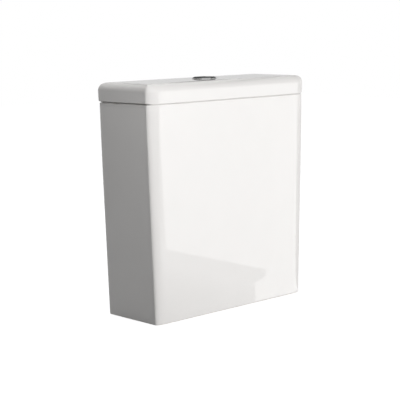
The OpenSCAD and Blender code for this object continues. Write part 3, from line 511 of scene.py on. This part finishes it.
def makeBezel():
    # flange, sloping collar and crown over the lid, and the threaded barrel, in one turned profile;
    # below, a guide plate in two halves, each an outline that closes in to the hole of a push rod
    look = bezelLook
    top, low = lidHigh[2], millimetres("button_bezel")[0][2]
    crown = top + look["height"]
    line = softProfile([
        (look["opening"], low, 0.3), (look["barrel"], low, 0.6), (look["barrel"], top, 0.15),
        (look["flange"], top, 0.15), (look["flange"], top + look["edge"], 0.3),
        (look["shoulder"], top + look["shoulderHeight"], 0.6), (look["crown"], crown, 0.5),
        (look["opening"], crown, 0.3)], steps=8)
    line = denser(line, look["barrel"], 170)
    thread = {
        "radius": look["barrel"], "low": low + 1, "high": top - look["threadOff"], "pitch": look["pitch"],
        "depth": look["depth"]}
    grids = [latheGrid(line, valveAt, 96, thread)]
    for side, node in ((1, "full_push_rod"), (-1, "half_push_rod")):
        ring = segmentOutline(look["opening"], 0, side, 0) + valveAt
        ring = np.concatenate([ring, 0 * ring[:, :1]], 1)
        flat = np.concatenate([ring[None], towardsHole(ring, middleOf(node), rodLook["bore"], [0.5, 1])])
        lower, upper = flat + np.array([0, 0, low]), flat[::-1] + np.array([0, 0, low + look["plate"]])
        grids.append(np.concatenate([lower, upper]))
    meshPiece("button_collar", "button_bezel", grids)


def makeButton(name, node, rod, side):
    # a segment of a disc: its outline drawn in for the edge, domed on top, hollow below, with the rod's boss
    look = buttonLook
    radius, edge, wall = look["radius"], look["edge"], look["skirtWall"]
    cut = look["split"] + side * look["gap"]
    outline = segmentOutline(radius, cut, side)
    heart = np.array([side * radius * 0.45 + cut * 0.4, 0.0])
    crown = lidHigh[2] + bezelLook["height"]
    skirt = look["skirt"] + bezelLook["height"]
    bend = np.linspace(0, math.pi / 2, 6)
    inset = np.concatenate([edge * (1 - np.sin(bend)), [0, 0, 0.3, wall - 0.3, wall, wall]])
    drop = np.concatenate([
        edge * (1 - np.cos(bend)), [2.0, skirt - 0.3, skirt, skirt, skirt - 0.3, look["under"]]])
    away = outline - heart
    length = np.linalg.norm(away, axis=1, keepdims=True)
    flat = heart + away * (1 - edge / length) * np.linspace(0, 1, 10)[:, None, None]
    around = heart + away[None] * (1 - inset[:, None, None] / length[None])
    inside = heart + away * (1 - wall / length) * np.linspace(1, 0, 5)[1:, None, None]
    plan = np.concatenate([flat, around[1:], inside])
    down = np.concatenate([0 * flat[:, 0, 0], drop[1:], 0 * inside[:, 0, 0] + look["under"]])[:, None, None]
    onTop = np.concatenate([np.ones(len(flat)), 1 - np.clip(drop[1:] / 1.5, 0, 1), np.zeros(len(inside))])
    bulge = look["dome"] * (1 - (plan ** 2).sum(-1, keepdims=True) / radius ** 2) * onTop[:, None, None]
    cap = np.concatenate([plan + valveAt, crown - down + bulge], -1)
    bore = rodLook["radius"] + 0.05
    rim = bore + look["bossWall"]
    low, high = lidHigh[2] - look["skirt"], crown - look["under"]
    boss = softProfile([(bore, low, 0.2), (rim, low, 0.3), (rim, high, 0), (bore, high, 0)])
    boss = latheGrid(np.concatenate([boss, boss[:1]]), middleOf(rod), 32)
    meshPiece(name, node, [cap, boss], closedRows=False)


def makeRod(name, node):
    # a straight rod with a ball end below and a chamfered top
    low, high = [corner[2] for corner in millimetres(node)]
    radius = rodLook["radius"]
    line = softProfile([
        (0, low, 0), (radius, low, radius), (radius, high, 0.3), (0, high, 0)], steps=8, closed=False)
    meshPiece(name, node, [latheGrid(line, middleOf(node), 32)], closedRows=False)


springLook = {"radius": 2.9, "wire": 0.4, "turns": 6, "sides": 12, "rings": 24, "travel": 7.0}


def makeSpring(name, node):
    # a round wire carried along a helix; the climb slows near the ends, so that they lie nearly flat
    look = springLook
    low, high = millimetres(node)
    centre = middleOf(node)
    base, rise = low[2] + look["wire"], high[2] - low[2] - 2 * look["wire"]
    along = np.linspace(0, 1, look["turns"] * look["rings"] + 1)
    climb = along - 0.35 * np.sin(fullTurn * along) / fullTurn
    turn = fullTurn * look["turns"] * along[:, None]
    section = np.linspace(0, fullTurn, look["sides"], endpoint=False)[None]
    radius = look["radius"] + look["wire"] * np.cos(section)
    grid = np.stack([
        centre[0] + radius * np.cos(turn), centre[1] + radius * np.sin(turn),
        base + rise * climb[:, None] + look["wire"] * np.sin(section)], -1)
    ends = [np.repeat(grid[i].mean(0)[None, None], look["sides"], 1) for i in (0, -1)]
    piece = meshPiece(name, node, [np.concatenate([ends[0], grid, ends[1]])], closedRows=False)
    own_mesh(piece)


makeBezel()
makeButton("full_flush_cap", "full_flush_button", "full_push_rod", 1)
makeButton("half_flush_cap", "half_flush_button", "half_push_rod", -1)
for size in ("full", "half"):
    makeRod(size + "_flush_rod", size + "_push_rod")
    makeSpring(size + "_return_spring", size + "_button_spring")
print("push button made")


# Washers and seals: plain rings with eased edges

ringLook = {
    # node: the ring's name, its axes, bore, rim and eased edge
    "button_washer": ("lid_washer", [valveAt], 18.2, 26.0, 0.5),
    "valve_base_washer": ("floor_washer", [valveAt], 24.3, 35.5, 0.7),
    "flush_seal": ("seat_disc", [valveAt], 15.05, 29.0, 0.6),
    "fill_shank_washer": ("shank_washer", [fillAt], 10.88, 18.0, 0.7),
    "bolt_plain_washers": ("bolt_steel_washers", boltsAt, 4.2, 11.0, 0.35)}


def makeRings():
    # a rectangle with eased corners carried round each axis
    for node, (name, axes, bore, rim, ease) in ringLook.items():
        low, high = [corner[2] for corner in millimetres(node)]
        line = softProfile([
            (bore, low, ease / 2), (rim, low, ease), (rim, high, ease), (bore, high, ease / 2)])
        meshPiece(name, node, [latheGrid(line, axis) for axis in axes])


# Flush valve: what is turned about the valve's axis

baseLook = {
    "bore": 20.5, "tail": 23.9, "spigot": 22.9, "spigotLength": 7.0, "flange": 37.0, "flangeLow": 55.0,
    "flangeTop": 61.0, "seat": 25.5, "seatEdge": 2.0, "lip": 1.2, "pitch": 2.3, "depth": 0.95, "ribs": 6,
    "ribWidth": 2.0, "ribReach": 27.4, "ribTop": 66.5}
tubeLook = {"bore": 13.0, "rim": 15.0, "flange": 21.0, "flangeLow": 75.0, "flangeThick": 2.0, "fall": 6.0}
retainerLook = {"bore": 15.05, "hub": 17.05, "rim": 19.5, "rimHeight": 3.0}
gasketLook = {
    "bore": 24.3, "rim": 46.0, "round": 8.0, "bevel": 3.0, "pocket": 37.5, "pocketDepth": 14.0,
    "steps": 3}


def makeValveBase():
    # threaded tail, flange and seat in one profile, with six ribs standing against the seat
    look = baseLook
    low, top = [corner[2] for corner in millimetres("valve_base")]
    spigotTop, chamfer = low + look["spigotLength"], look["tail"] - look["spigot"]
    lip = look["bore"] + look["seatEdge"]
    line = softProfile([
        (look["bore"], low, 0.5), (look["spigot"], low, 0.6), (look["spigot"], spigotTop, 0.3),
        (look["tail"], spigotTop + chamfer, 0.3), (look["tail"], look["flangeLow"], 0.4),
        (look["flange"], look["flangeLow"], 0.6), (look["flange"], look["flangeTop"], 1.2),
        (look["seat"], look["flangeTop"], 1.0), (look["seat"], top - look["seatEdge"], 0.6),
        (lip + look["lip"], top, 0.5), (lip, top, 0.4), (look["bore"], top - look["seatEdge"], 0.6)])
    line = denser(line, look["tail"], 190)
    thread = {
        "radius": look["tail"], "low": spigotTop + 1.5, "high": look["flangeLow"] - 4,
        "pitch": look["pitch"], "depth": look["depth"]}
    # a rib is an upright blade whose foot and top are eased, turned about the axis
    blade = softProfile([
        (look["seat"] - 0.8, -look["ribWidth"] / 2, 0.1), (look["ribReach"], -look["ribWidth"] / 2, 0.6),
        (look["ribReach"], look["ribWidth"] / 2, 0.6), (look["seat"] - 0.8, look["ribWidth"] / 2, 0.1)])
    heart = blade.mean(0)
    foot, tip = look["flangeTop"], look["ribTop"]
    levels = [(0.0, foot), (1.0, foot), (1.0, tip - 0.5), (0.8, tip), (0.0, tip)]
    grids = []
    for i in range(look["ribs"]):
        a = fullTurn * (i + 0.5) / look["ribs"]
        turn = np.array([[math.cos(a), math.sin(a)], [-math.sin(a), math.cos(a)]])
        grids.append(np.stack([
            np.concatenate([(heart + (blade - heart) * size) @ turn + valveAt, 0 * blade[:, :1] + z], 1)
            for size, z in levels]))
    body = latheGrid(np.concatenate([line, line[:1]]), valveAt, 96, thread)
    meshPiece("outlet_base", "valve_base", [body] + grids, closedRows=False)


def makeFlushStem():
    # standpipe with its flange, and the ring that holds the seal against it
    look = tubeLook
    low, top = [corner[2] for corner in millimetres("overflow_tube")]
    flangeTop = look["flangeLow"] + look["fall"]
    line = softProfile([
        (look["bore"], low, 0.4), (look["rim"], low, 0.6), (look["rim"], look["flangeLow"], 0.2),
        (look["flange"], look["flangeLow"], 0.5),
        (look["flange"], look["flangeLow"] + look["flangeThick"], 0.7),
        (look["rim"] + look["flangeThick"], flangeTop, 1.5), (look["rim"], flangeTop + 0.6, 1.0),
        (look["rim"], top, 0.9), (look["bore"], top, 0.5)])
    meshPiece("standpipe", "overflow_tube", [latheGrid(line, valveAt)])
    look = retainerLook
    low, top = [corner[2] for corner in millimetres("seal_retainer")]
    line = softProfile([
        (look["bore"], low, 0.2), (look["hub"], low, 0.4), (look["rim"], top - look["rimHeight"], 0.5),
        (look["rim"], top, 0.3), (look["bore"], top, 0.2)])
    meshPiece("seal_ring", "seal_retainer", [latheGrid(line, valveAt)])


def makeGasket():
    # doughnut with a round shoulder, a pocket for the nut above and shallow moulded steps below
    look = gasketLook
    low, top = [corner[2] for corner in millimetres("coupling_gasket")]
    floor = [
        (look["bore"] + look["bevel"] + 0.5 + i * 3.2 + shift, low + lift, 0.3)
        for i in range(look["steps"]) for shift, lift in ((0, 0), (0.8, 0.7), (1.6, 0.7), (2.4, 0))]
    line = softProfile([
        (look["bore"], low + look["bevel"], 0.6), (look["bore"] + look["bevel"], low, 0.6), *floor,
        (look["rim"], low, look["round"]), (look["rim"], top - look["bevel"], 1.2),
        (look["rim"] - look["bevel"], top, 1.2), (look["pocket"], top, 0.8),
        (look["pocket"], top - look["pocketDepth"], 0.8),
        (look["bore"], top - look["pocketDepth"], 0.6)], steps=6)
    meshPiece("doughnut_gasket", "coupling_gasket", [latheGrid(line, valveAt, 96)])


# Fill valve: what is turned about the inlet's axis

shankLook = {
    "bore": 5.0, "thread": 10.48, "neck": 9.78, "neckLow": 25.5, "neckHigh": 27.5, "flange": 19.0,
    "flangeLow": 55.0, "flangeTop": 59.0, "riser": 8.0, "nose": 2.0, "pitch": 1.81, "depth": 0.75}
headLook = {"sleeve": 13.55, "rim": 17.5, "well": 14.5, "collar": 8.05, "ring": 10.0, "top": 6.0}
diaphragmLook = {"radius": 14.45, "groove": 10.5, "depth": 0.7}


def makeShank():
    # threaded inlet, flange on the floor washer and the riser inside the column
    look = shankLook
    low, top = [corner[2] for corner in millimetres("fill_shank")]
    line = softProfile([
        (look["bore"], low, 0.4), (look["thread"] - 1, low, 0.2), (look["thread"], low + 1, 0.2),
        (look["thread"], look["neckLow"], 0.2), (look["neck"], look["neckLow"], 0.2),
        (look["neck"], look["neckHigh"], 0.2), (look["thread"] - 0.05, look["neckHigh"], 0.2),
        (look["thread"] - 0.05, look["flangeLow"], 0.4), (look["flange"], look["flangeLow"], 0.6),
        (look["flange"], look["flangeTop"], 0.8), (look["riser"], look["flangeTop"], 1.0),
        (look["riser"], top - look["nose"], 0.5), (look["bore"] + 1, top, 0.4), (look["bore"], top, 0.3)])
    line = denser(line, look["thread"], 130)
    thread = {
        "radius": look["thread"], "low": low + 0.6, "high": look["neckLow"], "pitch": look["pitch"],
        "depth": look["depth"]}
    meshPiece("inlet_shank", "fill_shank", [latheGrid(line, fillAt, 64, thread)])


def makeHead():
    # socket on the column with the diaphragm's well above, and the diaphragm with one moulded groove
    look = headLook
    low, top = [corner[2] for corner in millimetres("fill_valve_head")]
    shoulder = top - look["ring"]
    line = softProfile([
        (look["sleeve"], low, 0.4), (look["rim"], low, 1.0), (look["rim"], top, 0.6),
        (look["well"], top, 0.4), (look["well"], top - look["top"], 0.6),
        (look["collar"], top - look["top"], 0.3), (look["collar"], shoulder, 0.3),
        (look["sleeve"], shoulder, 0.3)])
    meshPiece("inlet_head", "fill_valve_head", [latheGrid(line, fillAt)])
    look = diaphragmLook
    low, top = [corner[2] for corner in millimetres("fill_diaphragm")]
    line = softProfile([
        (0, low, 0), (look["radius"], low, 0.4), (look["radius"], top, 0.4),
        (look["groove"] + 1.2, top, 0.4), (look["groove"], top - look["depth"], 0.5),
        (look["groove"] - 1.2, top, 0.4), (0, top, 0)], closed=False)
    meshPiece("inlet_diaphragm", "fill_diaphragm", [latheGrid(line, fillAt)], closedRows=False)


# Coupling bolts and their rubber cones

boltLook = {
    "radius": 4.0, "neck": 3.3, "neckLow": 28.1, "neckHigh": 30.1, "head": 8.5, "headHeight": 5.0,
    "slot": 1.6, "slotDepth": 2.5, "ease": 0.5, "pitch": 1.25, "depth": 0.62}
coneLook = {"bore": 4.05, "plug": 4.8, "plugTop": 52.0, "foot": 13.0, "shoulder": 9.5}


def makeBolts():
    # threaded shank and cheese head; the slot lies between two raised half rounds
    look = boltLook
    low, top = [corner[2] for corner in millimetres("coupling_bolts")]
    under, slotFloor = top - look["headHeight"], top - look["slotDepth"]
    line = softProfile([
        (0, low, 0), (look["radius"], low, 0.6), (look["radius"], look["neckLow"], 0.2),
        (look["neck"], look["neckLow"], 0.2), (look["neck"], look["neckHigh"], 0.2),
        (look["radius"] - 0.03, look["neckHigh"], 0.2), (look["radius"] - 0.03, under, 0.3),
        (look["head"], under, look["ease"]), (look["head"], slotFloor, 0), (0, slotFloor, 0)], closed=False)
    line = denser(line, look["radius"], 190)
    thread = {
        "radius": look["radius"], "low": low + 0.3, "high": look["neckLow"], "pitch": look["pitch"],
        "depth": look["depth"]}
    outline = segmentOutline(look["head"], look["slot"] / 2, 1)
    heart = np.array([look["head"] * 0.5, 0.0])
    levels = [
        (1.0, slotFloor), (1.0, top - look["ease"]), (0.97, top - 0.15), (0.92, top), (0.5, top), (0.0, top)]
    grids = []
    for axis in boltsAt:
        grids.append(latheGrid(line, axis, 48, thread))
        for side in (1, -1):
            half = [(heart + (outline - heart) * size) * side for size, _ in levels]
            # the head's two halves lie fore and aft of the slot, which runs along x
            grids.append(np.stack([
                np.stack([-plan[:, 1] + axis[0], plan[:, 0] + axis[1], 0 * plan[:, 0] + z], 1)
                for plan, (_, z) in zip(half, levels)]))
    meshPiece("slotted_bolts", "coupling_bolts", grids, closedRows=False)


def makeCones():
    # a plug through the floor and a cone above it, carried round each bolt
    look = coneLook
    low, top = [corner[2] for corner in millimetres("bolt_cone_washers")]
    line = softProfile([
        (look["bore"], low, 0.2), (look["plug"], low, 0.3), (look["plug"], look["plugTop"], 0.2),
        (look["foot"], look["plugTop"], 0.5), (look["shoulder"], top, 0.8), (look["bore"], top, 0.3)])
    meshPiece("rubber_cones", "bolt_cone_washers", [latheGrid(line, axis, 64) for axis in boltsAt])


makeRings()
makeValveBase()
makeFlushStem()
makeGasket()
makeShank()
makeHead()
makeBolts()
makeCones()
print("turned pieces made")


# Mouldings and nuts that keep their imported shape, with eased edges

easedLook = {
    # node: the piece's name and its eased edge in millimetres
    "button_locknut": ("lid_ring_nut", 0.5), "outlet_backnut": ("outlet_ring_nut", 0.8),
    "valve_cage": ("slotted_cage", 0.5), "valve_bridge": ("lever_frame", 0.4),
    "full_flush_lever": ("full_rocker", 0.6), "half_flush_lever": ("half_rocker", 0.6),
    "lever_pins": ("rocker_pins", 0.3), "lift_collar": ("lifting_hook", 0.5),
    "half_flush_float": ("ring_float", 0.6), "fill_backnut": ("inlet_nut", 0.5),
    "inlet_filter": ("inlet_strainer", 0.15), "fill_column": ("inlet_column", 0.4),
    "fill_valve_cap": ("inlet_cap", 0.4), "fill_float": ("cup_float", 0.6),
    "float_rod": ("float_link", 0.4), "float_lever": ("shut_off_arm", 0.4),
    "float_lever_pin": ("shut_off_pin", 0.3), "bolt_nuts": ("bolt_steel_nuts", 0.35)}
for node, (name, edge) in easedLook.items():
    easedCopy(name, node, edge)
print("mouldings eased:", len(easedLook))


# Camera: where the photograph was taken from, worked out from the edges of the tank

cameraLook = {
    "place": (-1.4376, -1.5103, 0.4886), "yaw": -43.286, "pitch": 8.390, "roll": -0.843, "focal": 1221.65,
    "image": 400.0, "sensor": 36.0}


def makeCamera():
    # yaw and pitch turn the view, roll tilts it; focal is in pixels of an image that is 400 wide
    look = cameraLook
    yaw, pitch, roll = [math.radians(look[key]) for key in ("yaw", "pitch", "roll")]
    ahead = Vector((-math.sin(yaw) * math.cos(pitch), math.cos(yaw) * math.cos(pitch), -math.sin(pitch)))
    level = Vector((math.cos(yaw), math.sin(yaw), 0))
    above = level.cross(ahead)
    right = math.cos(roll) * level + math.sin(roll) * above
    up = -math.sin(roll) * level + math.cos(roll) * above
    data = bpy.data.cameras.new("camera")
    data.sensor_width = look["sensor"]
    data.lens = look["focal"] * look["sensor"] / look["image"]
    camera = bpy.data.objects.new("camera", data)
    scene.collection.objects.link(camera)
    turn = Matrix((right, up, -ahead)).transposed().to_4x4()
    camera.matrix_world = Matrix.Translation(look["place"]) @ turn
    scene.camera = camera


# Studio: white floor and surround, three lamps, and papers that only show in reflections

studioLook = {
    "ambient": 0.05, "mirrored": 0.69, "floorBounce": 0.36, "floorNear": 0.9, "floorFar": 1.0,
    "floorFade": (0.25, 0.9), "floorShade": 0.3, "aim": (0, 0, 0.2), "paperFade": (-0.15, 0.13),
    "paperWay": (1, 0.12, 0),
    "lamps": {
        "key": {"place": (1.15, -4.0, 0.75), "size": (1.4, 1.4), "power": 155.0},
        "fill": {"place": (-0.5, -0.26, 0.58), "size": (0.05, 0.4), "power": 0.67},
        "top": {"place": (-0.1, 0.75, 1.4), "size": (0.8, 0.8), "power": 12.4}}}
paperLook = {
    # name: corners in metres, and brightness in reflections at the left and right ends of paperFade
    "soft_floor_paper": ([
        (-0.19, -0.066, 0.0005), (0.19, -0.066, 0.0005), (0.3, -0.24, 0.0005), (0.3, -0.7, 0.0005),
        (-0.19, -0.7, 0.0005)], (0.0, 1.35)),
    "bright_floor_paper": ([
        (0.06, -0.066, 0.001), (0.13, -0.134, 0.001), (0.16, -0.167, 0.001), (0.22, -0.196, 0.001),
        (0.27, -0.241, 0.001), (0.278, -0.547, 0.001), (3.2, -4.0, 0.001), (3.7, -2.4, 0.001),
        (0.19, -0.066, 0.001)], (2.5, 2.5)),
    "bright_end_paper": ([(3.2, -4.0, 0), (3.7, -2.4, 0), (3.7, -2.4, 0.6), (3.2, -4.0, 0.6)], (2.5, 2.5)),
    "dark_floor_paper": ([
        (0.195, -0.066, 0.001), (3.7, -2.4, 0.001), (4.4, -1.0, 0.001), (4.4, 3.5, 0.001),
        (3.0, 3.5, 0.001), (0.195, 0.1, 0.001)], (0.5, 0.5)),
    "dark_corner_paper": ([
        (-0.5, -0.1, 0.001), (-0.16, -0.1, 0.001), (0.2, -0.7, 0.001), (3.1, -4.1, 0.001),
        (-2.5, -4.2, 0.001)], (0.05, 0.4)),
    "dark_back_paper": ([
        (0.104, 0.177, 0.412), (0.170, 0.116, 0.412), (0.170, 0.116, 0.570),
        (0.104, 0.177, 0.570)], (0.03, 0.03)),
    "dark_left_paper": ([
        (-0.281, -0.078, 0.620), (-0.143, 0.068, 0.470), (-0.089, 0.126, 0.440),
        (-0.027, 0.191, 0.420), (-0.027, 0.191, 0.520), (-0.089, 0.126, 0.550),
        (-0.143, 0.068, 0.600), (-0.281, -0.078, 0.800)], (0.03, 0.03)),
    "dark_right_paper": ([
        (0.068, -0.146, 0.470), (0.219, 0.015, 0.430), (0.219, 0.015, 0.550),
        (0.068, -0.146, 0.600)], (0.03, 0.03))}


def makeSheet(name, corners, material):
    # one flat polygon of the stage
    mesh = bpy.data.meshes.new(name)
    mesh.from_pydata(corners, [], [tuple(range(len(corners)))])
    mesh.materials.append(material)
    sheet = bpy.data.objects.new(name, mesh)
    scene.collection.objects.link(sheet)
    return sheet


def rayMix(tree, rays, other, seen):
    # one shader for the named kinds of ray and another for the rest
    path = addNode(tree, "ShaderNodeLightPath").outputs
    kind = path[rays[0]]
    for ray in rays[1:]:
        kind = addNode(tree, "ShaderNodeMath", {0: kind, 1: path[ray]}, operation="MAXIMUM").outputs[0]
    return addNode(tree, "ShaderNodeMixShader", {0: kind, 1: other.outputs[0], 2: seen.outputs[0]})


def makeStudio():
    look = studioLook
    white = (1, 1, 1, 1)
    # the surround is white to the eye, a little darker in reflections and dim as a light
    world = bpy.data.worlds.new("studio")
    scene.world = world
    world.use_nodes = True
    tree = world.node_tree
    tree.nodes.clear()
    dim, mirrored, bright = [
        addNode(tree, "ShaderNodeBackground", {"Color": white, "Strength": strength})
        for strength in (look["ambient"], look["mirrored"], 1.0)]
    shade = rayMix(tree, ["Is Glossy Ray", "Is Transmission Ray"], dim, mirrored)
    shade = rayMix(tree, ["Is Camera Ray"], shade, bright)
    addNode(tree, "ShaderNodeOutputWorld", {"Surface": shade.outputs[0]})
    # white paper floor: it takes the shadow near the tank and turns plain white further off
    floor, tree = emptyMaterial("white_paper_floor")
    place = addNode(tree, "ShaderNodeTexCoord").outputs["Object"]
    away = addNode(tree, "ShaderNodeVectorMath", {0: place}, operation="LENGTH").outputs["Value"]
    near, far = look["floorFade"]
    glowing = addNode(tree, "ShaderNodeMapRange", {
        "Value": away, "From Min": near, "From Max": far, "To Min": look["floorNear"],
        "To Max": look["floorFar"]})
    bounce, lit = [
        addNode(tree, "ShaderNodeBsdfDiffuse", {"Color": (look[key],) * 3 + (1,)})
        for key in ("floorBounce", "floorShade")]
    glow = addNode(tree, "ShaderNodeEmission", {"Color": white, "Strength": glowing.outputs["Result"]})
    lit = addNode(tree, "ShaderNodeAddShader", {0: lit.outputs[0], 1: glow.outputs[0]})
    shade = rayMix(tree, ["Is Camera Ray", "Is Glossy Ray", "Is Transmission Ray"], bounce, lit)
    addNode(tree, "ShaderNodeOutputMaterial", {"Surface": shade.outputs[0]})
    makeSheet("floor", [(-4.5, -4.5, 0), (4.5, -4.5, 0), (4.5, 4.5, 0), (-4.5, 4.5, 0)], floor)
    # a paper glows by its place along paperWay, and only reflections see it
    for name, (corners, (left, right)) in paperLook.items():
        paper, tree = emptyMaterial(name)
        place = addNode(tree, "ShaderNodeTexCoord").outputs["Object"]
        along = addNode(tree, "ShaderNodeVectorMath", {
            0: place, 1: look["paperWay"]}, operation="DOT_PRODUCT").outputs["Value"]
        strength = addNode(tree, "ShaderNodeMapRange", {
            "Value": along, "From Min": look["paperFade"][0], "From Max": look["paperFade"][1],
            "To Min": left, "To Max": right})
        glow = addNode(tree, "ShaderNodeEmission", {"Color": white, "Strength": strength.outputs["Result"]})
        addNode(tree, "ShaderNodeOutputMaterial", {"Surface": glow.outputs[0]})
        sheet = makeSheet(name, corners, paper)
        for rays in ("camera", "diffuse", "shadow", "transmission"):
            setattr(sheet, "visible_" + rays, False)
    for name, part in look["lamps"].items():
        lamp = bpy.data.lights.new(name + "_lamp", "AREA")
        lamp.shape = "RECTANGLE"
        lamp.size, lamp.size_y = part["size"]
        lamp.energy = part["power"]
        holder = bpy.data.objects.new(name + "_lamp", lamp)
        scene.collection.objects.link(holder)
        holder.location = part["place"]
        away = Vector(look["aim"]) - Vector(part["place"])
        holder.rotation_euler = away.to_track_quat("-Z", "Y").to_euler()
        holder.visible_camera = False
        holder.visible_glossy = False
    scene.view_settings.view_transform = "Standard"


makeCamera()
makeStudio()
print("camera and studio ready")
